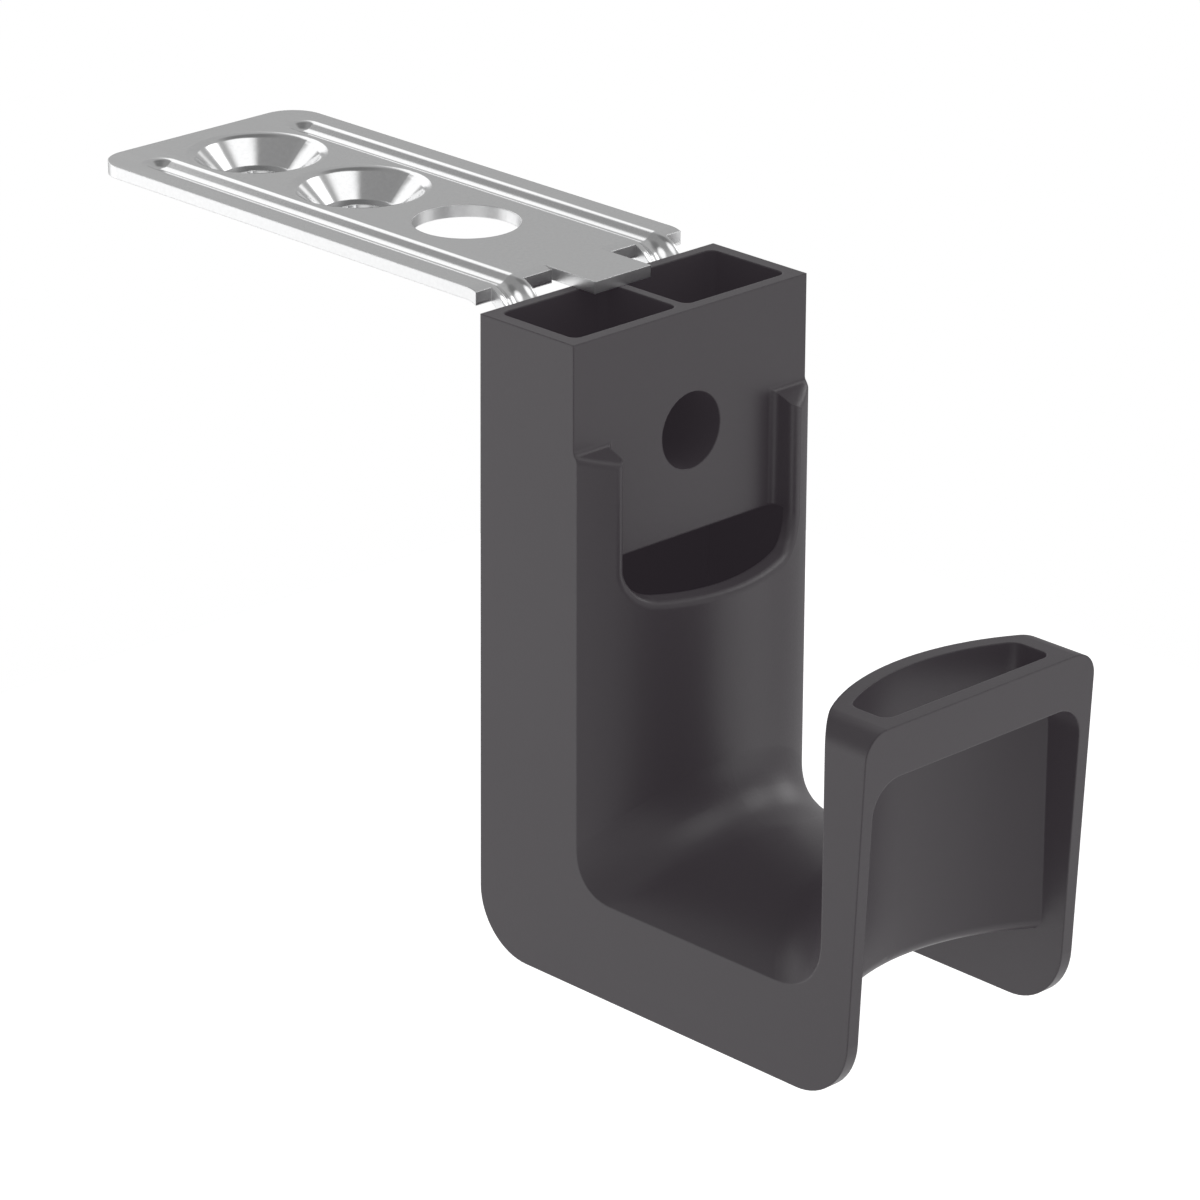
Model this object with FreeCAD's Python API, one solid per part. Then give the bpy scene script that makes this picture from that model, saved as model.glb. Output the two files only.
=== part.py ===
import FreeCAD, Part

import math
import os

from FreeCAD import Vector

# A moulded J hook for cable bundles, riveted to a folded steel bracket that fixes under a ceiling.
# Row frame: X across the hook, the open side of the hook towards -Y, Z up.
# The origin is the centre of the bracket's rod hole, in the face that lies against the ceiling.
# All sizes are in millimetres.

# Sheet metal bracket
sheet = 1.3
plate_width = 27.9
plate_beyond_hole = 42.2
plate_corner_radius = 3.8
rod_hole_diameter = 11.1
bend_radius = 4.0
bend_to_hole = 15.2
trim_past_bend = 1.3

# Ribs pressed into the sheet
rib_spacing = 19.55
rib_width = 3.95
rib_depth = 0.7
rib_end_to_plate_end = 4.0
rib_leg_length = 5.2

# Screw dimples
dimple_pitch = 16.1
dimple_diameter = 15.0
dimple_depth = 2.7
dimple_floor_diameter = 8.2
screw_hole_diameter = 4.8

# Leg, straps and locating tab of the bracket
strap_margin = 0.2
leg_length = 19.0
leg_corner_radius = 3.0
leg_window_depth = 3.2
leg_window_radius = 1.2
tab_width = 7.6
tab_overlap = 3.4

# Rivet
rivet_shank_diameter = 4.0
rivet_hole_clearance = 0.1
rivet_factory_head_diameter = 8.0
rivet_factory_head_height = 1.5
rivet_formed_head_diameter = 6.4
rivet_formed_head_height = 1.4

# Moulded hook, outside
hook_width = 31.75
column_depth = 13.05
hook_height = 67.25
back_lean = 0.41
back_corner_radius = 6.6
front_corner_radius = 6.7
leg_top_depth = 28.3
leg_thickness_at_top = 5.4
leg_lean = 3.0
leg_top_corner_radius = 2.75

# Cable cradle
bend_support_radius = 25.4
cradle_setback = 0.5
cradle_opening = 33.4
cradle_edge_depth = 56.95
cradle_back_radius = 6.1
cradle_front_radius = 7.7

# Moulded hook, walls
side_wall = 1.45
front_wall = 1.35
back_wall = 1.2
web = 1.05
skin = 1.6
floor = 1.5
floor_depth = 48.5
pocket_corner_radius = 1.0
skirt_depth = 59.4
skirt_round = 1.3

# Access hole and its tube
access_hole_diameter = 7.94
access_hole_depth = 12.5
tube_wall = 1.2

# Strap slot, window and cheeks
strap_slot_width = 23.0
window_top_depth = 23.1
lip_depth = 27.1
lip_slope = 17.0
lip_corner_radius = 3.0
lip_round = 0.8
cheek_foot_round = 0.8
cheek_shoulder_depth = 11.15
cheek_slope = 21.0
cheek_cove_radius = 0.6
bridge_height = 5.4
bridge_wall = 1.75
bridge_slot_corner = 1.2
bridge_slot_arch_corner = 1.8
recess_corner_radius = 3.4

# Reach of a cutting solid past the surface that it cuts
past = 2.0

# Worked-out places in the hook's own frame: front face at y = 0, top at z = 0
half_width = hook_width / 2.0
back_slope = math.tan(math.radians(back_lean))
leg_slope = math.tan(math.radians(leg_lean))
cheek_rise = math.tan(math.radians(cheek_slope))
lip_fall = math.tan(math.radians(lip_slope))
inner_half = half_width - side_wall
slot_half = strap_slot_width / 2.0
crest_rise = bend_support_radius - math.sqrt(bend_support_radius ** 2 - half_width ** 2)
back_axis_y = bend_support_radius - cradle_setback - crest_rise
front_edge_y = -cradle_setback - cradle_opening
front_axis_y = front_edge_y + crest_rise - bend_support_radius
bottom_axis_z = -cradle_edge_depth + crest_rise - bend_support_radius
leg_outer_y = front_edge_y - leg_thickness_at_top
leg_foot_y = leg_outer_y + leg_slope * (hook_height - leg_top_depth)
bend_y = column_depth + back_slope * (bend_radius - sheet) + bend_radius / math.cos(math.radians(back_lean))
rib_centre = rib_spacing / 2.0
strap_inner = rib_centre - rib_width / 2.0 - strap_margin
strap_outer = rib_centre + rib_width / 2.0 + strap_margin
hook_place = Vector(0, -bend_to_hole - bend_y, -sheet)
rivet_drop = access_hole_depth - (bend_radius - sheet)


def rounded_wire(corners, place):
    """Closed wire through (a, b, radius) corners, each turned by an arc of its radius."""
    count = len(corners)
    joints = []
    for index in range(count):
        previous = corners[index - 1]
        corner = corners[index]
        following = corners[(index + 1) % count]
        point = Vector(corner[0], corner[1], 0)
        inward = (Vector(previous[0], previous[1], 0) - point).normalize()
        outward = (Vector(following[0], following[1], 0) - point).normalize()
        if corner[2] == 0:
            joints.append((point, point, point))
            continue
        half_angle = inward.getAngle(outward) / 2.0
        bisector = (inward + outward).normalize()
        back_off = corner[2] / math.tan(half_angle)
        middle = point + bisector * (corner[2] / math.sin(half_angle) - corner[2])
        joints.append((point + inward * back_off, middle, point + outward * back_off))
    edges = []
    for index in range(count):
        start, middle, end = joints[index]
        if corners[index][2] > 0:
            edges.append(Part.Arc(place(start), place(middle), place(end)).toShape())
        onward = joints[(index + 1) % count][0]
        if end.distanceToPoint(onward) > 1e-6:
            edges.append(Part.LineSegment(place(end), place(onward)).toShape())
    return Part.Wire(edges)


def prism_along_x(corners, low, high):
    """Solid of a YZ outline between two X values."""
    wire = rounded_wire(corners, lambda p: Vector(low, p.x, p.y))
    return Part.Face(wire).extrude(Vector(high - low, 0, 0))


def prism_along_y(corners, low, high):
    """Solid of an XZ outline between two Y values."""
    wire = rounded_wire(corners, lambda p: Vector(p.x, low, p.y))
    return Part.Face(wire).extrude(Vector(0, high - low, 0))


def prism_along_z(corners, low, high):
    """Solid of an XY outline between two Z values."""
    wire = rounded_wire(corners, lambda p: Vector(p.x, p.y, low))
    return Part.Face(wire).extrude(Vector(0, 0, high - low))


def box(low, high):
    """Box between two corners."""
    size = [high[i] - low[i] for i in range(3)]
    return Part.makeBox(size[0], size[1], size[2], Vector(*low))


def mirrored(shape):
    """The same shape on the other side of the middle plane."""
    return shape.mirror(Vector(0, 0, 0), Vector(1, 0, 0))


def edges_near(shape, test):
    """Edges whose every sampled point passes the test."""
    chosen = []
    for edge in shape.Edges:
        points = edge.discretize(5)
        if all(test(p) for p in points):
            chosen.append(edge)
    return chosen


def upright_cylinder(radius, axis_y, low_z, high_z):
    """Cylinder about an upright axis in the middle plane."""
    return Part.makeCylinder(radius, high_z - low_z, Vector(0, axis_y, low_z), Vector(0, 0, 1))


def back_arch(thin):
    """Inside of the column's arched face, less a wall thickness."""
    return upright_cylinder(bend_support_radius - thin, back_axis_y, -hook_height - past, past)


def front_arch(thin):
    """Inside of the front leg's arched face, less a wall thickness."""
    return upright_cylinder(bend_support_radius - thin, front_axis_y, -hook_height - past, past)


def bottom_arch(thin):
    """Inside of the cradle's arched bottom, less a wall thickness."""
    length = column_depth - leg_outer_y + 2 * past
    start = Vector(0, leg_outer_y - past, bottom_axis_z)
    return Part.makeCylinder(bend_support_radius - thin, length, start, Vector(0, 1, 0))


def mitre_edges(shape, other_axis_y):
    """Edges where the arched bottom meets the arched face about one upright axis."""
    def on_mitre(p):
        on_bottom = abs(math.hypot(p.x, p.z - bottom_axis_z) - bend_support_radius) < 0.01
        return on_bottom and abs(math.hypot(p.x, p.y - other_axis_y) - bend_support_radius) < 0.01
    return edges_near(shape, on_mitre)


def cradle_space():
    """The space that the cables fill: the faces arch across the hook and meet in rounded mitres."""
    low = (-half_width - past, front_edge_y - past, -cradle_edge_depth - past)
    high = (half_width + past, -cradle_setback + past, past)
    space = box(low, high).cut(back_arch(0)).cut(front_arch(0)).cut(bottom_arch(0))
    space = space.makeFillet(cradle_back_radius, mitre_edges(space, back_axis_y))
    return space.makeFillet(cradle_front_radius, mitre_edges(space, front_axis_y))


def hook_envelope():
    """Side outline of the whole hook, carried across its width."""
    back_foot_y = column_depth + back_slope * hook_height
    shoulder_reach = front_edge_y / 2.0
    shoulder_foot = -cheek_shoulder_depth + shoulder_reach * cheek_rise
    outline = [
        (0, 0, 0),
        (column_depth, 0, 0),
        (back_foot_y, -hook_height, back_corner_radius),
        (leg_foot_y, -hook_height, front_corner_radius),
        (leg_outer_y, -leg_top_depth, 0),
        (shoulder_reach, -leg_top_depth, 0),
        (shoulder_reach, shoulder_foot, 0),
        (0, -cheek_shoulder_depth, cheek_cove_radius),
    ]
    block = prism_along_x(outline, -half_width, half_width)
    block = block.cut(cradle_space())
    return block.cut(leg_top_corners())


def leg_top_corners():
    """What is cut from the top corners of the front leg to round them."""
    top = -leg_top_depth
    radius = leg_top_corner_radius
    outline = [
        (half_width - radius, top + past, 0),
        (half_width + past, top + past, 0),
        (half_width + past, top - radius, 0),
        (half_width, top - radius, 0),
        (half_width, top, radius),
        (half_width - radius, top, 0),
    ]
    corner = prism_along_y(outline, leg_outer_y - past, front_edge_y + crest_rise + past)
    return corner.fuse(mirrored(corner))


def cheek_gap():
    """The flat-backed gap between the two cheeks, whose lip falls towards the cables."""
    arch_inside_y = -cradle_setback - crest_rise + skin
    back_lip_z = -lip_depth - lip_fall * arch_inside_y
    outline = [
        (-slot_half, 3 * past, 0),
        (-slot_half, back_lip_z, lip_corner_radius),
        (slot_half, back_lip_z, lip_corner_radius),
        (slot_half, 3 * past, 0),
    ]
    wire = rounded_wire(outline, lambda p: Vector(p.x, 0, p.y))
    reach = -cradle_setback - crest_rise - past
    gap = Part.Face(wire).extrude(Vector(0, reach, reach * lip_fall))
    feet = edges_near(gap, lambda p: abs(p.y) < 0.01 and abs(abs(p.x) - slot_half) < 0.01)
    return gap.makeFillet(cheek_foot_round, feet)


def round_gap_edge(body):
    """Round the edge where the gap and the cheeks' shoulders break through the arched face."""
    def on_edge(p):
        on_arch = abs(math.hypot(p.x, p.y - back_axis_y) - bend_support_radius) < 0.01
        return on_arch and abs(p.x) < half_width - 0.01 and p.z > -lip_depth - skin
    def on_shoulder(p):
        on_arch = abs(math.hypot(p.x, p.y - back_axis_y) - bend_support_radius) < 0.01
        return on_arch and p.z > -cheek_shoulder_depth - 3.0
    edges = edges_near(body, on_edge)
    for edge in edges_near(body, on_shoulder):
        if not any(edge.isSame(other) for other in edges):
            edges.append(edge)
    return body.makeFillet(lip_round, edges)


def column_hollow():
    """Two pockets open at the top, over one chamber that reaches forward to the arched skin."""
    back_y = column_depth - back_wall
    outline = [
        (web / 2.0, front_wall, pocket_corner_radius),
        (inner_half, front_wall, pocket_corner_radius),
        (inner_half, back_y, pocket_corner_radius),
        (web / 2.0, back_y, pocket_corner_radius),
    ]
    side_pocket = prism_along_z(outline, -window_top_depth - front_wall, past)
    pockets = side_pocket.fuse(mirrored(side_pocket))
    chamber = box((-inner_half, -cradle_setback - crest_rise, -floor_depth), (inner_half, back_y, -window_top_depth))
    return pockets.fuse(chamber.common(back_arch(skin)))


def front_recess():
    """The recess in the outside of the front leg, whose floor is the back of the arched skin."""
    top_z = -leg_top_depth - bridge_height
    outline = [
        (-inner_half, -skirt_depth, 0),
        (inner_half, -skirt_depth, 0),
        (inner_half, top_z, recess_corner_radius),
        (-inner_half, top_z, recess_corner_radius),
    ]
    recess = prism_along_y(outline, leg_outer_y - past, front_edge_y + crest_rise)
    return recess.common(front_arch(skin))


def skirt_rounding():
    """What is turned off the front lower edge of the arched skin's skirt to round it."""
    radius = bend_support_radius - skin
    face_y = front_axis_y + radius
    centre = Vector(0, face_y + skirt_round, -skirt_depth + skirt_round)
    on_face = Vector(0, face_y, centre.z)
    on_foot = Vector(0, centre.y, -skirt_depth)
    middle = centre + Vector(0, -1, -1).normalize() * skirt_round
    below = Vector(0, centre.y, -skirt_depth - past)
    outside = Vector(0, face_y - past, -skirt_depth - past)
    above = Vector(0, face_y - past, centre.z)
    edges = [Part.Arc(on_face, middle, on_foot).toShape()]
    corners = [on_foot, below, outside, above, on_face]
    for start, end in zip(corners, corners[1:]):
        edges.append(Part.LineSegment(start, end).toShape())
    ring = Part.Face(Part.Wire(edges)).revolve(Vector(0, front_axis_y, 0), Vector(0, 0, 1), 360)
    return ring.common(box((-inner_half, front_axis_y, -hook_height), (inner_half, 0, 0)))


def underside():
    """The hollow under the cradle and the column, behind the skirt and open below."""
    top_z = -floor_depth - floor
    top_y = column_depth - back_wall + back_slope * -top_z
    foot_z = -hook_height - past
    foot_y = column_depth - back_wall + back_slope * -foot_z
    outline = [
        (front_edge_y, foot_z, 0),
        (foot_y, foot_z, 0),
        (top_y, top_z, 0),
        (front_edge_y, top_z, 0),
    ]
    block = prism_along_x(outline, -inner_half, inner_half)
    hollow = block.common(bottom_arch(skin).fuse(back_arch(skin))).cut(front_arch(0))
    foot = box((-inner_half, leg_outer_y - 2 * past, foot_z), (inner_half, column_depth / 2.0, -skirt_depth))
    return hollow.fuse(foot)


def bridge_slot():
    """The D-shaped slot down through the top of the front leg, for a strap."""
    low_y = leg_outer_y + bridge_wall
    low = -leg_top_depth - bridge_height - 0.5 * past
    high = -leg_top_depth + past
    # Corner circles that touch both the slot's side and the arched skin
    arch_radius = bend_support_radius - skin
    corner_x = slot_half - bridge_slot_arch_corner
    corner_y = front_axis_y + math.sqrt((arch_radius - bridge_slot_arch_corner) ** 2 - corner_x ** 2)
    touch = arch_radius / (arch_radius - bridge_slot_arch_corner)
    touch_x = corner_x * touch
    touch_y = front_axis_y + (corner_y - front_axis_y) * touch
    away = Vector(slot_half - corner_x, 0, 0) + Vector(touch_x - corner_x, touch_y - corner_y, 0)
    middle = Vector(corner_x, corner_y, 0) + away.normalize() * bridge_slot_arch_corner
    near = bridge_slot_corner
    diagonal = near * (1 - math.sqrt(0.5))

    def at(x, y):
        return Vector(x, y, low)

    def half(side):
        return [
            Part.Arc(at(side * touch_x, touch_y), at(side * middle.x, middle.y), at(side * slot_half, corner_y)),
            Part.LineSegment(at(side * slot_half, corner_y), at(side * slot_half, low_y + near)),
            Part.Arc(
                at(side * slot_half, low_y + near),
                at(side * (slot_half - diagonal), low_y + diagonal),
                at(side * (slot_half - near), low_y),
            ),
        ]

    crown = Part.Arc(at(-touch_x, touch_y), at(0, front_axis_y + arch_radius), at(touch_x, touch_y))
    straight = Part.LineSegment(at(slot_half - near, low_y), at(-(slot_half - near), low_y))
    edges = [crown] + half(1) + [straight] + half(-1)[::-1]
    wire = Part.Wire([edge.toShape() for edge in edges])
    return Part.Face(wire).extrude(Vector(0, 0, high - low))


def make_hook():
    """The moulded hook as one solid, in its own frame."""
    body = hook_envelope()
    body = round_gap_edge(body.cut(cheek_gap()))
    body = body.cut(column_hollow())
    body = body.cut(underside())
    body = body.cut(front_recess())
    body = body.cut(skirt_rounding())
    body = body.cut(bridge_slot())
    # Tube from the access hole to the back wall
    bore_radius = access_hole_diameter / 2.0
    inside_back = column_depth - back_wall + back_slope * (access_hole_depth - bore_radius - tube_wall)
    tube_start = Vector(0, front_wall / 2.0, -access_hole_depth)
    tube_length = inside_back - front_wall / 2.0 + 0.5 * back_wall
    tube = Part.makeCylinder(bore_radius + tube_wall, tube_length, tube_start, Vector(0, 1, 0))
    body = body.fuse(tube)
    bore_start = Vector(0, -past, -access_hole_depth)
    bore = Part.makeCylinder(bore_radius, column_depth - back_wall + past, bore_start, Vector(0, 1, 0))
    body = body.cut(bore)
    hole_radius = rivet_shank_diameter / 2.0 + rivet_hole_clearance
    hole = Part.makeCylinder(hole_radius, column_depth + 2 * past, bore_start, Vector(0, 1, 0))
    return body.cut(hole).removeSplitter()


def half_rib_face(place):
    """Face of half a rib's section: a trough arc that rolls over the foot to the flat sheet, straight runs below."""
    half = rib_width / 2.0
    angle = 2.0 * math.atan(rib_depth / half)
    trough = half / math.sin(angle) - sheet
    outer = trough + sheet
    centre_z = trough - rib_depth
    half_turn = angle / 2.0

    def trough_point(radius, turn):
        return place(radius * math.sin(turn), centre_z - radius * math.cos(turn))

    def foot_point(turn):
        return place(half - sheet * math.sin(turn), -sheet + sheet * math.cos(turn))

    join = trough_point(trough, angle)
    top = Part.Arc(trough_point(trough, 0), trough_point(trough, half_turn), join).toShape()
    roll = Part.Arc(join, foot_point(half_turn), foot_point(0)).toShape()
    runs = [foot_point(0), place(half, -sheet)]
    for share in (2.0 / 3.0, 1.0 / 3.0, 0.0):
        runs.append(trough_point(outer, share * angle))
    runs.append(trough_point(trough, 0))
    lines = [Part.LineSegment(start, end).toShape() for start, end in zip(runs, runs[1:])]
    return Part.Face(Part.Wire([top, roll] + lines))


def rib_section(centre, y):
    """Both halves of a rib's section across X at one Y, ready to extrude or revolve."""
    right = half_rib_face(lambda a, b: Vector(centre + a, y, b))
    left = half_rib_face(lambda a, b: Vector(centre - a, y, b))
    return [right, left]


def ribbed_strip(y_from, y_to, half_span):
    """Flat sheet between two Y values, with both ribs running through it."""
    length = y_to - y_from
    foot = rib_width / 2.0
    pieces = []
    for centre in (-rib_centre, rib_centre):
        for face in rib_section(centre, y_from):
            pieces.append(face.extrude(Vector(0, length, 0)))
    spans = [(-half_span, -rib_centre - foot), (-rib_centre + foot, rib_centre - foot), (rib_centre + foot, half_span)]
    for low, high in spans:
        pieces.append(box((low, y_from, -sheet), (high, y_to, 0)))
    return pieces


def bent_strip(half_span):
    """The same section carried round the bend."""
    foot = rib_width / 2.0
    axis_point = Vector(0, 0, -bend_radius)
    turn = 90.0 + back_lean
    faces = []
    for centre in (-rib_centre, rib_centre):
        faces += rib_section(centre, 0)
    spans = [(-half_span, -rib_centre - foot), (-rib_centre + foot, rib_centre - foot), (rib_centre + foot, half_span)]
    for low, high in spans:
        corners = [(low, -sheet, 0), (high, -sheet, 0), (high, 0, 0), (low, 0, 0)]
        faces.append(Part.Face(rounded_wire(corners, lambda p: Vector(p.x, 0, p.y))))
    return [face.revolve(axis_point, Vector(1, 0, 0), turn) for face in faces]


def rib_ends(y, towards):
    """Rounded ends of both ribs: half a turn of the half section about an upright axis."""
    pieces = []
    for centre in (-rib_centre, rib_centre):
        face = half_rib_face(lambda a, b: Vector(centre + a, y, b))
        pieces.append(face.revolve(Vector(centre, y, 0), Vector(0, 0, 1), 180.0 * towards))
    return pieces


def plain_strip(y_from, y_to, half_span, rib_y):
    """Flat sheet between two Y values, less the round ends of the ribs at one of them."""
    sheet_part = box((-half_span, y_from, -sheet), (half_span, y_to, 0))
    for centre in (-rib_centre, rib_centre):
        end = Part.makeCylinder(rib_width / 2.0, 3 * sheet, Vector(centre, rib_y, -2 * sheet), Vector(0, 0, 1))
        sheet_part = sheet_part.cut(end)
    return sheet_part


def dimple_profile():
    """Outline of half a dimple's section, as (r, z, round) corners from the rim round the floor."""
    rim = dimple_diameter / 2.0
    foot = dimple_floor_diameter / 2.0
    hole = screw_hole_diameter / 2.0
    wall_top = rim - sheet / 2.0
    wall_angle = math.atan2(dimple_depth, wall_top - foot)
    shift = sheet * math.tan(wall_angle / 2.0)
    return [
        (rim, 0, 0),
        (wall_top, 0, sheet),
        (foot, -dimple_depth, 0),
        (hole, -dimple_depth, 0),
        (hole, -dimple_depth - sheet, 0),
        (foot + shift, -dimple_depth - sheet, 0),
        (wall_top + shift, -sheet, 0),
        (rim, -sheet, 0),
    ]


def dimple(y):
    """A pressed dimple with its screw hole, turned about its own axis."""
    wire = rounded_wire(dimple_profile(), lambda p: Vector(p.x, y, p.y))
    return Part.Face(wire).revolve(Vector(0, y, 0), Vector(0, 0, 1), 360)


def make_leg():
    """The bracket's leg, drawn flat beyond the bend line and then turned down about the bend axis."""
    rib_end = -rib_leg_length
    pieces = ribbed_strip(rib_end, 0, strap_outer)
    pieces += rib_ends(rib_end, -1)
    pieces.append(plain_strip(-leg_length, rib_end, strap_outer, rib_end))
    leg = pieces[0].multiFuse(pieces[1:])
    outline = [
        (-strap_outer, past, 0),
        (-strap_outer, -leg_length, leg_corner_radius),
        (strap_outer, -leg_length, leg_corner_radius),
        (strap_outer, past, 0),
    ]
    leg = leg.common(prism_along_z(outline, -3 * sheet, sheet))
    window = [
        (-strap_inner, past, 0),
        (-strap_inner, -leg_window_depth, leg_window_radius),
        (strap_inner, -leg_window_depth, leg_window_radius),
        (strap_inner, past, 0),
    ]
    leg = leg.cut(prism_along_z(window, -3 * sheet, sheet))
    hole_radius = rivet_shank_diameter / 2.0 + rivet_hole_clearance
    leg = leg.cut(Part.makeCylinder(hole_radius, 4 * sheet, Vector(0, -rivet_drop, -3 * sheet), Vector(0, 0, 1)))
    leg.rotate(Vector(0, 0, -bend_radius), Vector(1, 0, 0), 90.0 + back_lean)
    return leg


def make_bracket():
    """The folded sheet bracket as one solid: bend line at y = 0 and top face at z = 0."""
    plate_end = bend_to_hole + plate_beyond_hole
    rib_end = plate_end - rib_end_to_plate_end - rib_width / 2.0
    half_plate = plate_width / 2.0
    pieces = ribbed_strip(0, rib_end, half_plate)
    pieces += rib_ends(rib_end, 1)
    pieces.append(plain_strip(rib_end, plate_end, half_plate, rib_end))
    plate = pieces[0].multiFuse(pieces[1:])
    outline = [
        (-half_plate, -past, 0),
        (half_plate, -past, 0),
        (half_plate, plate_end, plate_corner_radius),
        (-half_plate, plate_end, plate_corner_radius),
    ]
    plate = plate.common(prism_along_z(outline, -3 * sheet, sheet))
    hole = Part.makeCylinder(rod_hole_diameter / 2.0, 4 * sheet, Vector(0, bend_to_hole, -3 * sheet), Vector(0, 0, 1))
    plate = plate.cut(hole)
    for index in (1, 2):
        y = bend_to_hole + index * dimple_pitch
        room = Part.makeCylinder(dimple_diameter / 2.0, 4 * sheet, Vector(0, y, -3 * sheet), Vector(0, 0, 1))
        plate = plate.cut(room).fuse(dimple(y))
    # The bend: straps go all the way round, the rest is trimmed just past the bend line
    bend_pieces = bent_strip(half_plate)
    bend = bend_pieces[0].multiFuse(bend_pieces[1:])
    deep = 3 * bend_radius
    for side in (-1, 1):
        low, high = sorted((side * strap_outer, side * (half_plate + past)))
        bend = bend.cut(box((low, -deep, -deep), (high, -trim_past_bend, past)))
    bend = bend.cut(box((-strap_inner, -deep, -deep), (strap_inner, -trim_past_bend, past)))
    tab_half = tab_width / 2.0
    bend = bend.cut(box((-tab_half, -deep, -deep), (tab_half, 0, past)))
    tab = box((-tab_half, tab_overlap_y(), -sheet), (tab_half, 0, 0))
    bracket = plate.fuse([bend, make_leg(), tab])
    return bracket.removeSplitter()


def tab_overlap_y():
    """Y of the tab's tip, which lies over the column's back wall."""
    return column_depth - tab_overlap - bend_y


def make_rivet():
    """Rivet through the leg and the back wall: its axis along Y, its factory head behind the leg."""
    seat_front = column_depth - back_wall
    head_radius = rivet_factory_head_diameter / 2.0
    seat_back = column_depth + back_slope * (access_hole_depth + head_radius) + sheet
    shank_radius = rivet_shank_diameter / 2.0
    shank = Part.makeCylinder(shank_radius, seat_back - seat_front, Vector(0, seat_front, 0), Vector(0, 1, 0))
    formed = Part.makeCylinder(
        rivet_formed_head_diameter / 2.0,
        rivet_formed_head_height,
        Vector(0, seat_front - rivet_formed_head_height, 0),
        Vector(0, 1, 0),
    )
    height = rivet_factory_head_height
    dome_radius = (head_radius ** 2 + height ** 2) / (2 * height)
    dome = Part.makeSphere(dome_radius, Vector(0, seat_back + height - dome_radius, 0))
    room = Part.makeCylinder(head_radius + past, 2 * height, Vector(0, seat_back, 0), Vector(0, 1, 0))
    dome = dome.common(room)
    rivet = shank.fuse([formed, dome]).removeSplitter()
    rivet.translate(Vector(0, 0, -access_hole_depth))
    return rivet


def save(shape, name):
    """Write one node, as one closed solid."""
    solids = shape.Solids
    if len(solids) != 1 or not solids[0].isValid():
        raise ValueError("%s is not one valid solid: %d" % (name, len(solids)))
    solids[0].exportStep("parts/%s.step" % name)
    print(name, "volume", round(solids[0].Volume, 1), "faces", len(solids[0].Faces))


def main():
    os.makedirs("parts", exist_ok=True)
    hook = make_hook()
    hook.translate(hook_place)
    save(hook, "hook_body")
    bracket = make_bracket()
    bracket.translate(Vector(0, -bend_to_hole, 0))
    save(bracket, "ceiling_bracket")
    rivet = make_rivet()
    rivet.translate(hook_place)
    save(rivet, "rivet")


main()
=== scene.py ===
"""Looks for a J hook cable support: a moulded nylon hook riveted to a folded sheet steel bracket."""

import math

import bpy
import numpy as np
from mathutils import Matrix, Vector


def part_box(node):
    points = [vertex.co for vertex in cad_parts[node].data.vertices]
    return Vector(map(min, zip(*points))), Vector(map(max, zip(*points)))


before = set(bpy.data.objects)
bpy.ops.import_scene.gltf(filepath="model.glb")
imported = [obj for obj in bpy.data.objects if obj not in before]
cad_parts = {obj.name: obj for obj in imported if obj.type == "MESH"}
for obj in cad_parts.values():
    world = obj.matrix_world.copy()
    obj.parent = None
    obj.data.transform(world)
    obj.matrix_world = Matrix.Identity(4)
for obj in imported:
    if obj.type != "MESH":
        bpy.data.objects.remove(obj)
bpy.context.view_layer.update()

bl_info = {
    "name": "J Hook Cable Support",
    "version": (1, 0, 0),
    "blender": (4, 5, 0),
    "location": "View3D > Sidebar > J Hook",
    "description": "Finishes the hook, its ceiling bracket and its rivet, and sets up the studio",
    "category": "Object",
}

hook_lowest, hook_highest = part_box("hook_body")

# Nylon: width in metres of the patches in which its shade drifts, and how far its roughness swings
DRIFT_WIDTH = 0.018
NYLON_ROUGHNESS_SWING = 0.05

# Bracket: thickness of its sheet and width of its rolling lines in metres, how many times longer than
# wide the lines are, and how far its roughness swings
SHEET_THICKNESS = 0.0013
ROLLING_WIDTH = 0.0006
ROLLING_LENGTH_RATIO = 25
ZINC_ROUGHNESS_SWING = 0.04

# A cut face of the bracket is upright when its normal rises by less than the first share, and looks
# sideways when its normal points along X by more than the second
UPRIGHT_SHARE = 0.25
SIDEWAYS_SHARE = 0.95

# Rivet: width and height of the tool's marks and rounding of its edges in metres, darkest and lightest
# share of its colour, and how far its roughness swings
MARK_WIDTH = 0.0008
MARK_HEIGHT = 0.000002
RIVET_EDGE_RADIUS = 0.00015
RIVET_DARKEST = 0.93
RIVET_LIGHTEST = 1.05
RIVET_ROUGHNESS_SWING = 0.06

# Points along each side of the floor's grid
FLOOR_POINTS = 9

# Camera: width of its frame in millimetres, nearest and farthest distance it sees in metres
FRAME_WIDTH = 36
NEAREST_SEEN = 0.01
FARTHEST_SEEN = 200

# Round panels of the studio: azimuth, elevation, half width and soft edge in degrees, and shade
PANELS = {
    "dark on the left": (-105, 52, 36, 10, 0.31),
    "dark over the back": (-175, 64, 20, 8, 0.3),
    "dark overhead": (110, 76, 16, 10, 0.2),
    "back": (159, 27, 16, 3, 1.25),
    "back left": (180, 26, 15, 3, 1.25),
    "over the front": (15, 62, 18, 7, 1.25),
    "right": (72, 34, 13, 3, 2.0),
    "low right": (97, 9, 10, 4, 1.7),
    "dark low right": (98, -26, 24, 8, 0.3),
    "low left": (-148, -16, 28, 5, 1.45),
    "low front": (34, -18, 28, 14, 0.95),
    "low front left": (-60, -20, 20, 12, 0.75),
}


# Sizes and colours that a user would change

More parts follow.
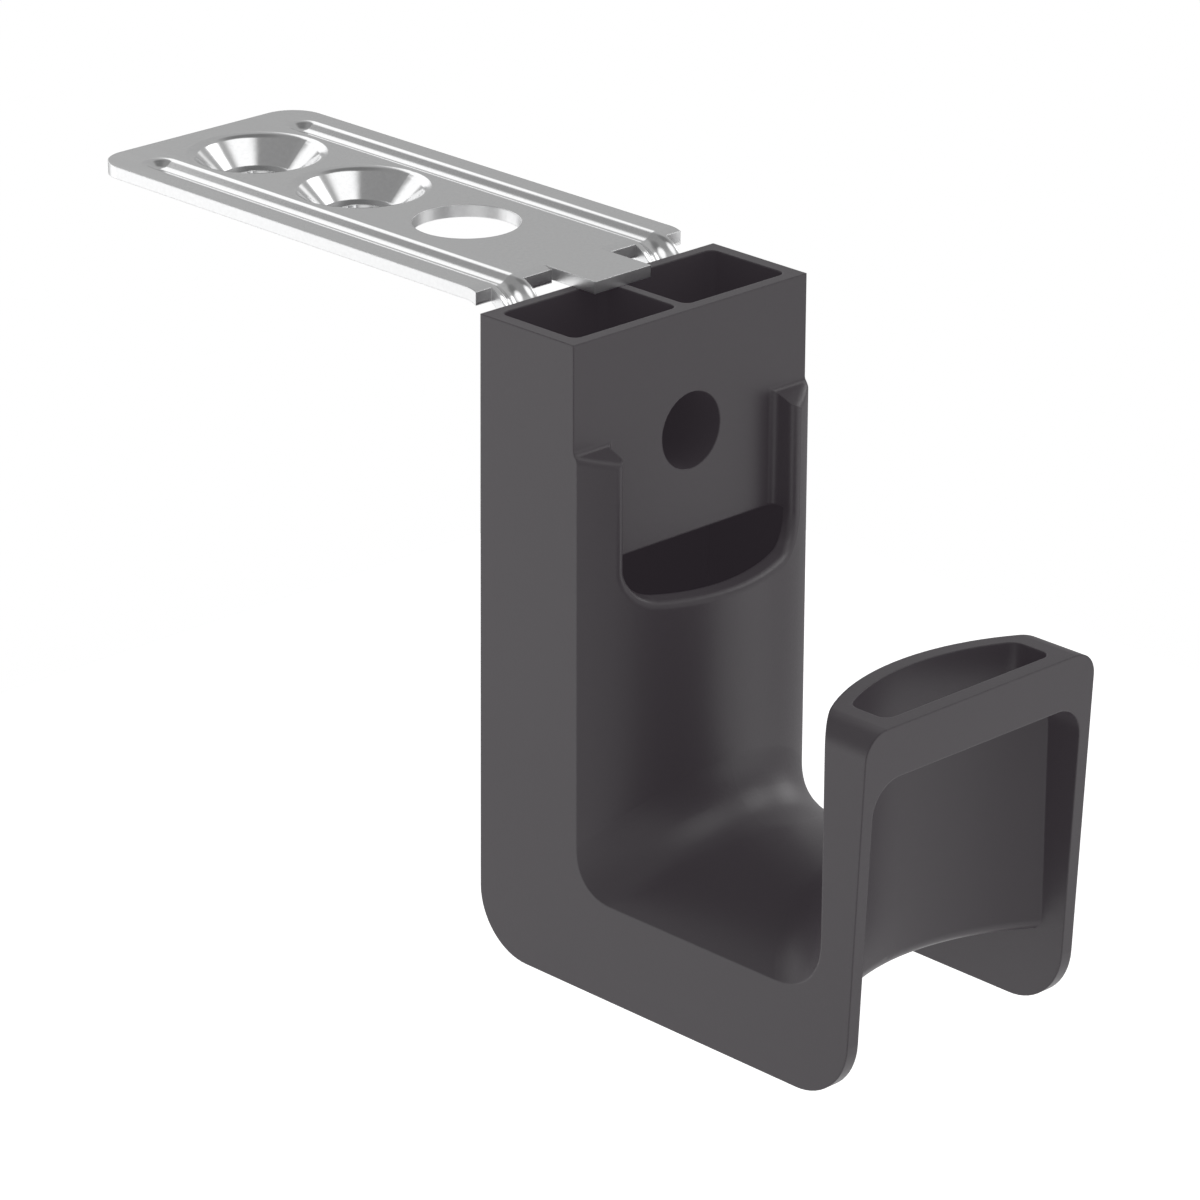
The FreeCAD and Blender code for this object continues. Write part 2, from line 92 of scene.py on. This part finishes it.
class HookFinish(bpy.types.PropertyGroup):
    """Finish of the moulded nylon hook."""

    colour: bpy.props.FloatVectorProperty(
        name="Nylon colour", description="Dark grey of the moulded nylon",
        subtype="COLOR", size=3, min=0, max=1, default=(0.041, 0.0368, 0.0405))
    shade_change: bpy.props.FloatProperty(
        name="Shade change", description="How much the grey drifts where the nylon flowed in the mould",
        min=0, max=0.5, default=0.08)
    gloss_roughness: bpy.props.FloatProperty(
        name="Roughness", description="Mean roughness of the satin surface", min=0, max=1, default=0.36)
    # Painted light: a faint glow painted into the nylon, which lifts its dark hollows as if light reached
    # them
    painted_glow: bpy.props.FloatVectorProperty(
        name="Painted glow",
        description="Faint light that the thin nylon lets through into its hollows",
        subtype="COLOR", size=3, min=0, max=1, default=(0.0165, 0.0135, 0.0165))
    grain_size: bpy.props.FloatProperty(
        name="Grain size", description="Size of the spark-eroded mould grain",
        subtype="DISTANCE", unit="LENGTH", min=0.00005, max=0.002, default=0.00028)
    grain_height: bpy.props.FloatProperty(
        name="Grain height", description="Height of the mould grain",
        subtype="DISTANCE", unit="LENGTH", min=0, max=0.0002, default=0.000006)
    edge_radius: bpy.props.FloatProperty(
        name="Edge radius", description="Radius of the small rounding on every moulded edge",
        subtype="DISTANCE", unit="LENGTH", min=0, max=0.002, default=0.00025)


class BracketFinish(bpy.types.PropertyGroup):
    """Finish of the galvanised sheet steel bracket."""

    colour: bpy.props.FloatVectorProperty(
        name="Zinc colour", description="Bright grey of the zinc coating",
        subtype="COLOR", size=3, min=0, max=1, default=(0.80, 0.802, 0.806))
    gloss_roughness: bpy.props.FloatProperty(
        name="Roughness", description="Mean roughness of the rolled zinc face", min=0, max=1, default=0.12)
    cut_roughness: bpy.props.FloatProperty(
        name="Cut face roughness", description="Roughness of the sheared faces", min=0, max=1, default=0.36)
    speckle_size: bpy.props.FloatProperty(
        name="Speckle size", description="Width of the fine zinc crystals",
        subtype="DISTANCE", unit="LENGTH", min=0.0001, max=0.02, default=0.0004)
    speckle_contrast: bpy.props.FloatProperty(
        name="Speckle contrast", description="How far neighbouring crystals differ in shade",
        min=0, max=0.5, default=0.06)
    speckle_height: bpy.props.FloatProperty(
        name="Speckle height", description="Height of the crystals",
        subtype="DISTANCE", unit="LENGTH", min=0, max=0.0001, default=0.0000015)
    edge_radius: bpy.props.FloatProperty(
        name="Edge radius", description="Radius of the tumbled edges of the stamping",
        subtype="DISTANCE", unit="LENGTH", min=0, max=0.001, default=0.00014)


class RivetFinish(bpy.types.PropertyGroup):
    """Finish of the plated steel rivet."""

    colour: bpy.props.FloatVectorProperty(
        name="Plating colour", description="Bright grey of the plated steel",
        subtype="COLOR", size=3, min=0, max=1, default=(0.66, 0.665, 0.67))
    gloss_roughness: bpy.props.FloatProperty(
        name="Roughness", description="Mean roughness of the formed head", min=0, max=1, default=0.28)


class StudioSetup(bpy.types.PropertyGroup):
    """Floor, surroundings and camera."""

    floor_drop: bpy.props.FloatProperty(
        name="Floor drop", description="How far the floor lies below the hanging hook",
        subtype="DISTANCE", unit="LENGTH", min=0, max=3, default=0.75)
    floor_width: bpy.props.FloatProperty(
        name="Floor width", description="Width of the square floor",
        subtype="DISTANCE", unit="LENGTH", min=1, max=60, default=3)
    floor_colour: bpy.props.FloatVectorProperty(
        name="Floor colour", description="Pale colour of the floor",
        subtype="COLOR", size=3, min=0, max=1, default=(0.9, 0.9, 0.9))
    camera_lift: bpy.props.FloatProperty(
        name="Floor lift", description="Brightness that the camera sees on top of the floor's own",
        min=0, max=2, default=0.7)
    mirror_lift: bpy.props.FloatProperty(
        name="Floor lift in metal", description="Brightness that metal shows on top of the floor's own",
        min=0, max=2, default=0.5)
    surroundings: bpy.props.FloatProperty(
        name="Surroundings", description="Shade of the grey studio behind the panels",
        min=0, max=3, default=0.45)
    camera_place: bpy.props.FloatVectorProperty(
        name="Camera place", description="Where the camera stands, from the rod hole",
        subtype="TRANSLATION", unit="LENGTH", size=3, default=(-0.367047, -0.400661, 0.175551))
    camera_azimuth: bpy.props.FloatProperty(
        name="Camera azimuth", description="Turn of the camera round the upright, 0 looks along +Y",
        subtype="ANGLE", unit="ROTATION", default=math.radians(-43.9189))
    camera_elevation: bpy.props.FloatProperty(
        name="Camera elevation", description="Height of the camera above the horizon",
        subtype="ANGLE", unit="ROTATION", default=math.radians(21.729))
    camera_roll: bpy.props.FloatProperty(
        name="Camera roll", description="Turn of the picture round the line of sight",
        subtype="ANGLE", unit="ROTATION", default=math.radians(0.1491))
    lens_length: bpy.props.FloatProperty(
        name="Lens", description="Focal length in millimetres", min=1, max=1000, default=169.94)


# Small helpers

def empty_tree(owner):
    """Gives a material or a world an empty node tree, and returns its nodes and links."""
    owner.use_nodes = True
    owner.node_tree.nodes.clear()
    return owner.node_tree.nodes, owner.node_tree.links


def add_node(nodes, kind, place, **values):
    """Adds a node of that kind at that place in the editor, and sets the named attributes."""
    made = nodes.new(kind)
    made.location = place
    for name, value in values.items():
        setattr(made, name, value)
    return made


def fresh_material(name):
    """A new material with only its output and its Principled BSDF, already joined."""
    material = bpy.data.materials.new(name)
    nodes, links = empty_tree(material)
    output = add_node(nodes, "ShaderNodeOutputMaterial", (600, 0))
    shader = add_node(nodes, "ShaderNodeBsdfPrincipled", (300, 0))
    links.new(shader.outputs["BSDF"], output.inputs["Surface"])
    return material, nodes, links, shader


def object_place(nodes):
    """Object coordinates in metres, the same for every piece because each one sits at the origin."""
    return add_node(nodes, "ShaderNodeTexCoord", (-1100, 0)).outputs["Object"]


def noise_mask(nodes, links, coordinates, size, place, detail):
    """Noise from 0 to 1 whose features are about size metres wide."""
    noise = add_node(nodes, "ShaderNodeTexNoise", place)
    noise.inputs["Scale"].default_value = 1 / size
    noise.inputs["Detail"].default_value = detail
    links.new(coordinates, noise.inputs["Vector"])
    return noise.outputs["Fac"]


def share_of(colour, share):
    """The colour with each channel multiplied by the share and kept at 1 at most, and opaque."""
    return (*[min(1.0, channel * share) for channel in colour], 1)


def vary_shade(nodes, links, shader, mask, colour, darkest, lightest):
    """Colours the shader between the darkest and the lightest share of the colour, as the mask rises."""
    mixed = add_node(nodes, "ShaderNodeMix", (-400, 250), data_type="RGBA")
    mixed.inputs["A"].default_value = share_of(colour, darkest)
    mixed.inputs["B"].default_value = share_of(colour, lightest)
    links.new(mask, mixed.inputs["Factor"])
    links.new(mixed.outputs["Result"], shader.inputs["Base Color"])


def vary_roughness(nodes, links, mask, mean, swing):
    """A roughness that rises with the mask, from mean less swing to mean plus swing."""
    stretched = add_node(nodes, "ShaderNodeMapRange", (-400, 0))
    stretched.inputs["To Min"].default_value = mean - swing
    stretched.inputs["To Max"].default_value = mean + swing
    links.new(mask, stretched.inputs["Value"])
    return stretched.outputs["Result"]


def soften_edges(nodes, links, shader, radius, height, height_scale):
    """Turns the normal across sharp edges over the radius, and adds the height's bump on top."""
    bevel = add_node(nodes, "ShaderNodeBevel", (-200, -400), samples=6)
    bevel.inputs["Radius"].default_value = radius
    bump = add_node(nodes, "ShaderNodeBump", (50, -400))
    bump.inputs["Strength"].default_value = 1.0
    bump.inputs["Distance"].default_value = height_scale
    links.new(height, bump.inputs["Height"])
    links.new(bevel.outputs["Normal"], bump.inputs["Normal"])
    links.new(bump.outputs["Normal"], shader.inputs["Normal"])


def dress(node_name, material):
    """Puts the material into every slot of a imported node."""
    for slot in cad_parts[node_name].material_slots:
        slot.material = material


# Materials

def nylon_material(finish):
    """Satin dark grey nylon: a slow drift of shade, spark-eroded grain, softly rounded edges and a faint
    painted glow that lifts its dark hollows.
    """
    material, nodes, links, shader = fresh_material("moulded_nylon")
    place = object_place(nodes)
    drift = noise_mask(nodes, links, place, DRIFT_WIDTH, (-800, 250), detail=2.0)
    grain = noise_mask(nodes, links, place, finish.grain_size, (-800, -300), detail=3.0)
    change = finish.shade_change
    vary_shade(nodes, links, shader, drift, finish.colour, 1 - change, 1 + change)
    roughness = vary_roughness(nodes, links, grain, finish.gloss_roughness, NYLON_ROUGHNESS_SWING)
    links.new(roughness, shader.inputs["Roughness"])
    # Painted glow: a faint emission over the whole nylon that lights its dark hollows, standing in for
    # light that doesn't reach them
    shader.inputs["Emission Color"].default_value = (*finish.painted_glow, 1)
    shader.inputs["Emission Strength"].default_value = 1.0
    soften_edges(nodes, links, shader, finish.edge_radius, grain, finish.grain_height)
    return material


def size_test(nodes, links, value, operation, limit, place):
    """1 where the value without its sign is less or greater than the limit, as operation says, else 0."""
    x, y = place
    size = add_node(nodes, "ShaderNodeMath", (x, y), operation="ABSOLUTE")
    links.new(value, size.inputs[0])
    test = add_node(nodes, "ShaderNodeMath", (x + 200, y), operation=operation)
    test.inputs[1].default_value = limit
    links.new(size.outputs["Value"], test.inputs[0])
    return test.outputs["Value"]


def sheared_faces(nodes, links, place):
    """1 on the upright cut faces of the flat plate and on both sides of the strip, and 0 elsewhere."""
    geometry = add_node(nodes, "ShaderNodeNewGeometry", (-1500, -600))
    facing = add_node(nodes, "ShaderNodeSeparateXYZ", (-1300, -600))
    links.new(geometry.outputs["True Normal"], facing.inputs["Vector"])
    position = add_node(nodes, "ShaderNodeSeparateXYZ", (-1300, -800))
    links.new(place, position.inputs["Vector"])
    just_past_sheet = SHEET_THICKNESS * 1.05
    upright = size_test(nodes, links, facing.outputs["Z"], "LESS_THAN", UPRIGHT_SHARE, (-1100, -600))
    sideways = size_test(nodes, links, facing.outputs["X"], "GREATER_THAN", SIDEWAYS_SHARE, (-1100, -800))
    in_plate = size_test(nodes, links, position.outputs["Z"], "LESS_THAN", just_past_sheet, (-1100, -1000))
    either = add_node(nodes, "ShaderNodeMath", (-700, -900), operation="MAXIMUM")
    links.new(sideways, either.inputs[0])
    links.new(in_plate, either.inputs[1])
    both = add_node(nodes, "ShaderNodeMath", (-500, -750), operation="MULTIPLY")
    links.new(upright, both.inputs[0])
    links.new(either.outputs["Value"], both.inputs[1])
    return both.outputs["Value"]


def zinc_material(finish):
    """Bright rolled zinc: a fine speckle, rolling lines along the strip and duller cut faces."""
    material, nodes, links, shader = fresh_material("galvanised_steel")
    shader.inputs["Metallic"].default_value = 1.0
    place = object_place(nodes)
    speckle = noise_mask(nodes, links, place, finish.speckle_size, (-800, 250), detail=3.0)
    contrast = finish.speckle_contrast
    vary_shade(nodes, links, shader, speckle, finish.colour, 1 - contrast, 1 + contrast)
    stretch = add_node(nodes, "ShaderNodeMapping", (-900, -200))
    stretch.inputs["Scale"].default_value = (1, 1 / ROLLING_LENGTH_RATIO, 1)
    links.new(place, stretch.inputs["Vector"])
    rolling = noise_mask(nodes, links, stretch.outputs["Vector"], ROLLING_WIDTH, (-700, -200), detail=4.0)
    rolled = vary_roughness(nodes, links, rolling, finish.gloss_roughness, ZINC_ROUGHNESS_SWING)
    roughness = add_node(nodes, "ShaderNodeMix", (-100, 0), data_type="FLOAT")
    roughness.inputs["B"].default_value = finish.cut_roughness
    links.new(sheared_faces(nodes, links, place), roughness.inputs["Factor"])
    links.new(rolled, roughness.inputs["A"])
    links.new(roughness.outputs["Result"], shader.inputs["Roughness"])
    soften_edges(nodes, links, shader, finish.edge_radius, speckle, finish.speckle_height)
    return material


def plated_material(finish):
    """Plated rivet steel: slightly duller than the sheet, with the forming tool's fine marks."""
    material, nodes, links, shader = fresh_material("plated_rivet")
    shader.inputs["Metallic"].default_value = 1.0
    place = object_place(nodes)
    marks = noise_mask(nodes, links, place, MARK_WIDTH, (-800, 0), detail=4.0)
    vary_shade(nodes, links, shader, marks, finish.colour, RIVET_DARKEST, RIVET_LIGHTEST)
    roughness = vary_roughness(nodes, links, marks, finish.gloss_roughness, RIVET_ROUGHNESS_SWING)
    links.new(roughness, shader.inputs["Roughness"])
    soften_edges(nodes, links, shader, RIVET_EDGE_RADIUS, marks, MARK_HEIGHT)
    return material


# Studio

def floor_material(setup):
    """Pale floor that keeps the shadow. The camera, and less so metal, sees it brighter than its colour."""
    material = bpy.data.materials.new("pale_floor")
    nodes, links = empty_tree(material)
    output = add_node(nodes, "ShaderNodeOutputMaterial", (600, 0))
    paint = add_node(nodes, "ShaderNodeBsdfDiffuse", (0, 100))
    paint.inputs["Color"].default_value = (*setup.floor_colour, 1)
    path = add_node(nodes, "ShaderNodeLightPath", (-800, -200))
    mirrored = add_node(nodes, "ShaderNodeMath", (-600, -300), operation="MAXIMUM")
    links.new(path.outputs["Is Glossy Ray"], mirrored.inputs[0])
    links.new(path.outputs["Is Transmission Ray"], mirrored.inputs[1])
    mirror_lift = add_node(nodes, "ShaderNodeMath", (-400, -300), operation="MULTIPLY")
    mirror_lift.inputs[1].default_value = setup.mirror_lift
    links.new(mirrored.outputs["Value"], mirror_lift.inputs[0])
    lift = add_node(nodes, "ShaderNodeMath", (-200, -200), operation="MULTIPLY_ADD")
    lift.inputs[1].default_value = setup.camera_lift
    links.new(path.outputs["Is Camera Ray"], lift.inputs[0])
    links.new(mirror_lift.outputs["Value"], lift.inputs[2])
    glow = add_node(nodes, "ShaderNodeEmission", (0, -100))
    links.new(lift.outputs["Value"], glow.inputs["Strength"])
    both = add_node(nodes, "ShaderNodeAddShader", (300, 0))
    links.new(paint.outputs["BSDF"], both.inputs[0])
    links.new(glow.outputs["Emission"], both.inputs[1])
    links.new(both.outputs["Shader"], output.inputs["Surface"])
    return material


def towards(azimuth, elevation):
    """Unit direction at these angles in radians. Azimuth 0 is in front (-Y), and it grows to the right."""
    return Vector((
        math.sin(azimuth) * math.cos(elevation),
        -math.cos(azimuth) * math.cos(elevation),
        math.sin(elevation),
    ))


def add_panel(nodes, links, direction, below, panel, place):
    """Lays one round panel of the surroundings over the shade below it.

    The cosine of the angle from the panel's centre rises smoothly from its outer to its inner edge.
    """
    *angles, shade = panel
    azimuth, elevation, half_width, edge = (math.radians(angle) for angle in angles)
    x, y = place
    nearness = add_node(nodes, "ShaderNodeVectorMath", (x, y), operation="DOT_PRODUCT")
    nearness.inputs[1].default_value = towards(azimuth, elevation)
    links.new(direction, nearness.inputs[0])
    cover = add_node(nodes, "ShaderNodeMapRange", (x + 180, y), interpolation_type="SMOOTHSTEP")
    cover.inputs["From Min"].default_value = math.cos(half_width + edge)
    cover.inputs["From Max"].default_value = math.cos(half_width - edge)
    links.new(nearness.outputs["Value"], cover.inputs["Value"])
    mixed = add_node(nodes, "ShaderNodeMix", (x + 360, y), data_type="FLOAT")
    mixed.inputs["B"].default_value = shade
    links.new(cover.outputs["Result"], mixed.inputs["Factor"])
    links.new(below, mixed.inputs["A"])
    return mixed.outputs["Result"]


def make_surroundings(setup):
    """White to the camera. Metal and matt light meet a grey studio with pale and dark panels."""
    world = bpy.data.worlds.new("studio")
    bpy.context.scene.world = world
    nodes, links = empty_tree(world)
    output = add_node(nodes, "ShaderNodeOutputWorld", (1500, 0))
    direction = add_node(nodes, "ShaderNodeTexCoord", (-300, 0)).outputs["Generated"]
    base = add_node(nodes, "ShaderNodeValue", (-300, 200))
    base.outputs["Value"].default_value = setup.surroundings
    shade = base.outputs["Value"]
    for number, panel in enumerate(PANELS.values()):
        shade = add_panel(nodes, links, direction, shade, panel, (100, -250 * number))
    studio = add_node(nodes, "ShaderNodeBackground", (1000, 0))
    studio.inputs["Color"].default_value = (1, 1, 1, 1)
    links.new(shade, studio.inputs["Strength"])
    white = add_node(nodes, "ShaderNodeBackground", (1000, 200))
    white.inputs["Color"].default_value = (1, 1, 1, 1)
    path = add_node(nodes, "ShaderNodeLightPath", (800, 500))
    clear_view = add_node(nodes, "ShaderNodeMath", (1000, 500), operation="MAXIMUM")
    links.new(path.outputs["Is Camera Ray"], clear_view.inputs[0])
    links.new(path.outputs["Is Transmission Ray"], clear_view.inputs[1])
    either = add_node(nodes, "ShaderNodeMixShader", (1250, 0))
    links.new(clear_view.outputs["Value"], either.inputs["Fac"])
    links.new(studio.outputs["Background"], either.inputs[1])
    links.new(white.outputs["Background"], either.inputs[2])
    links.new(either.outputs["Shader"], output.inputs["Surface"])


def make_floor(setup):
    """A flat square grid of points, (u, v) in [-1, 1] squared mapped to (u, v) times half the width."""
    steps = np.linspace(-1, 1, FLOOR_POINTS)
    u, v = np.meshgrid(steps, steps, indexing="ij")
    half_width = setup.floor_width / 2
    height = np.full_like(u, hook_lowest.z - setup.floor_drop)
    points = np.stack([u * half_width, v * half_width, height], axis=-1)
    index = np.arange(FLOOR_POINTS ** 2).reshape(FLOOR_POINTS, FLOOR_POINTS)
    corners = [index[:-1, :-1], index[1:, :-1], index[1:, 1:], index[:-1, 1:]]
    faces = np.stack(corners, axis=-1).reshape(-1, 4)
    mesh = bpy.data.meshes.new("floor")
    mesh.from_pydata(points.reshape(-1, 3).tolist(), [], faces.tolist())
    mesh.materials.append(floor_material(setup))
    floor = bpy.data.objects.new("floor", mesh)
    bpy.context.scene.collection.objects.link(floor)


def make_camera(setup):
    """The photograph's viewpoint: a long lens, placed and then turned by azimuth, elevation and roll."""
    azimuth, roll = setup.camera_azimuth, setup.camera_roll
    back = towards(azimuth, setup.camera_elevation)
    right = Vector((math.cos(azimuth), math.sin(azimuth), 0))
    up = back.cross(right)
    turned_right = right * math.cos(roll) + up * math.sin(roll)
    turned_up = up * math.cos(roll) - right * math.sin(roll)
    data = bpy.data.cameras.new("camera")
    data.lens = setup.lens_length
    data.sensor_width = FRAME_WIDTH
    data.clip_start = NEAREST_SEEN
    data.clip_end = FARTHEST_SEEN
    camera = bpy.data.objects.new("camera", data)
    bpy.context.scene.collection.objects.link(camera)
    turn = Matrix((turned_right, turned_up, back)).transposed()
    camera.matrix_world = Matrix.Translation(Vector(setup.camera_place)) @ turn.to_4x4()
    bpy.context.scene.camera = camera


# Operators

class JHOOK_OT_finish_hook(bpy.types.Operator):
    """Gives the moulded hook its satin nylon"""

    bl_idname = "jhook.finish_hook"
    bl_label = "Finish the hook"

    def execute(self, context):
        dress("hook_body", nylon_material(context.scene.jhook_hook))
        return {"FINISHED"}


class JHOOK_OT_finish_bracket(bpy.types.Operator):
    """Gives the ceiling bracket its bright zinc"""

    bl_idname = "jhook.finish_bracket"
    bl_label = "Finish the bracket"

    def execute(self, context):
        dress("ceiling_bracket", zinc_material(context.scene.jhook_bracket))
        return {"FINISHED"}


class JHOOK_OT_finish_rivet(bpy.types.Operator):
    """Gives the rivet its plated steel"""

    bl_idname = "jhook.finish_rivet"
    bl_label = "Finish the rivet"

    def execute(self, context):
        dress("rivet", plated_material(context.scene.jhook_rivet))
        return {"FINISHED"}


class JHOOK_OT_set_stage(bpy.types.Operator):
    """Sets the floor, the surroundings and the camera"""

    bl_idname = "jhook.set_stage"
    bl_label = "Set the stage"

    def execute(self, context):
        setup = context.scene.jhook_studio
        make_surroundings(setup)
        make_floor(setup)
        make_camera(setup)
        context.scene.view_settings.view_transform = "Standard"
        return {"FINISHED"}


class JHOOK_PT_sidebar(bpy.types.Panel):
    """Lists the finishes and the stage in the sidebar"""

    bl_label = "J Hook Cable Support"
    bl_idname = "JHOOK_PT_sidebar"
    bl_space_type = "VIEW_3D"
    bl_region_type = "UI"
    bl_category = "J Hook"

    def draw(self, context):
        groups = (
            (context.scene.jhook_hook, JHOOK_OT_finish_hook),
            (context.scene.jhook_bracket, JHOOK_OT_finish_bracket),
            (context.scene.jhook_rivet, JHOOK_OT_finish_rivet),
            (context.scene.jhook_studio, JHOOK_OT_set_stage),
        )
        for settings, operator in groups:
            box = self.layout.box()
            for name in type(settings).__annotations__:
                box.prop(settings, name)
            box.operator(operator.bl_idname)


CLASSES = (
    HookFinish,
    BracketFinish,
    RivetFinish,
    StudioSetup,
    JHOOK_OT_finish_hook,
    JHOOK_OT_finish_bracket,
    JHOOK_OT_finish_rivet,
    JHOOK_OT_set_stage,
    JHOOK_PT_sidebar,
)


def register():
    for one in CLASSES:
        bpy.utils.register_class(one)
    bpy.types.Scene.jhook_hook = bpy.props.PointerProperty(type=HookFinish)
    bpy.types.Scene.jhook_bracket = bpy.props.PointerProperty(type=BracketFinish)
    bpy.types.Scene.jhook_rivet = bpy.props.PointerProperty(type=RivetFinish)
    bpy.types.Scene.jhook_studio = bpy.props.PointerProperty(type=StudioSetup)


def unregister():
    del bpy.types.Scene.jhook_studio
    del bpy.types.Scene.jhook_rivet
    del bpy.types.Scene.jhook_bracket
    del bpy.types.Scene.jhook_hook
    for one in reversed(CLASSES):
        bpy.utils.unregister_class(one)


def main():
    register()
    bpy.ops.jhook.finish_hook()
    bpy.ops.jhook.finish_bracket()
    bpy.ops.jhook.finish_rivet()
    bpy.ops.jhook.set_stage()


if __name__ == "__main__":
    main()
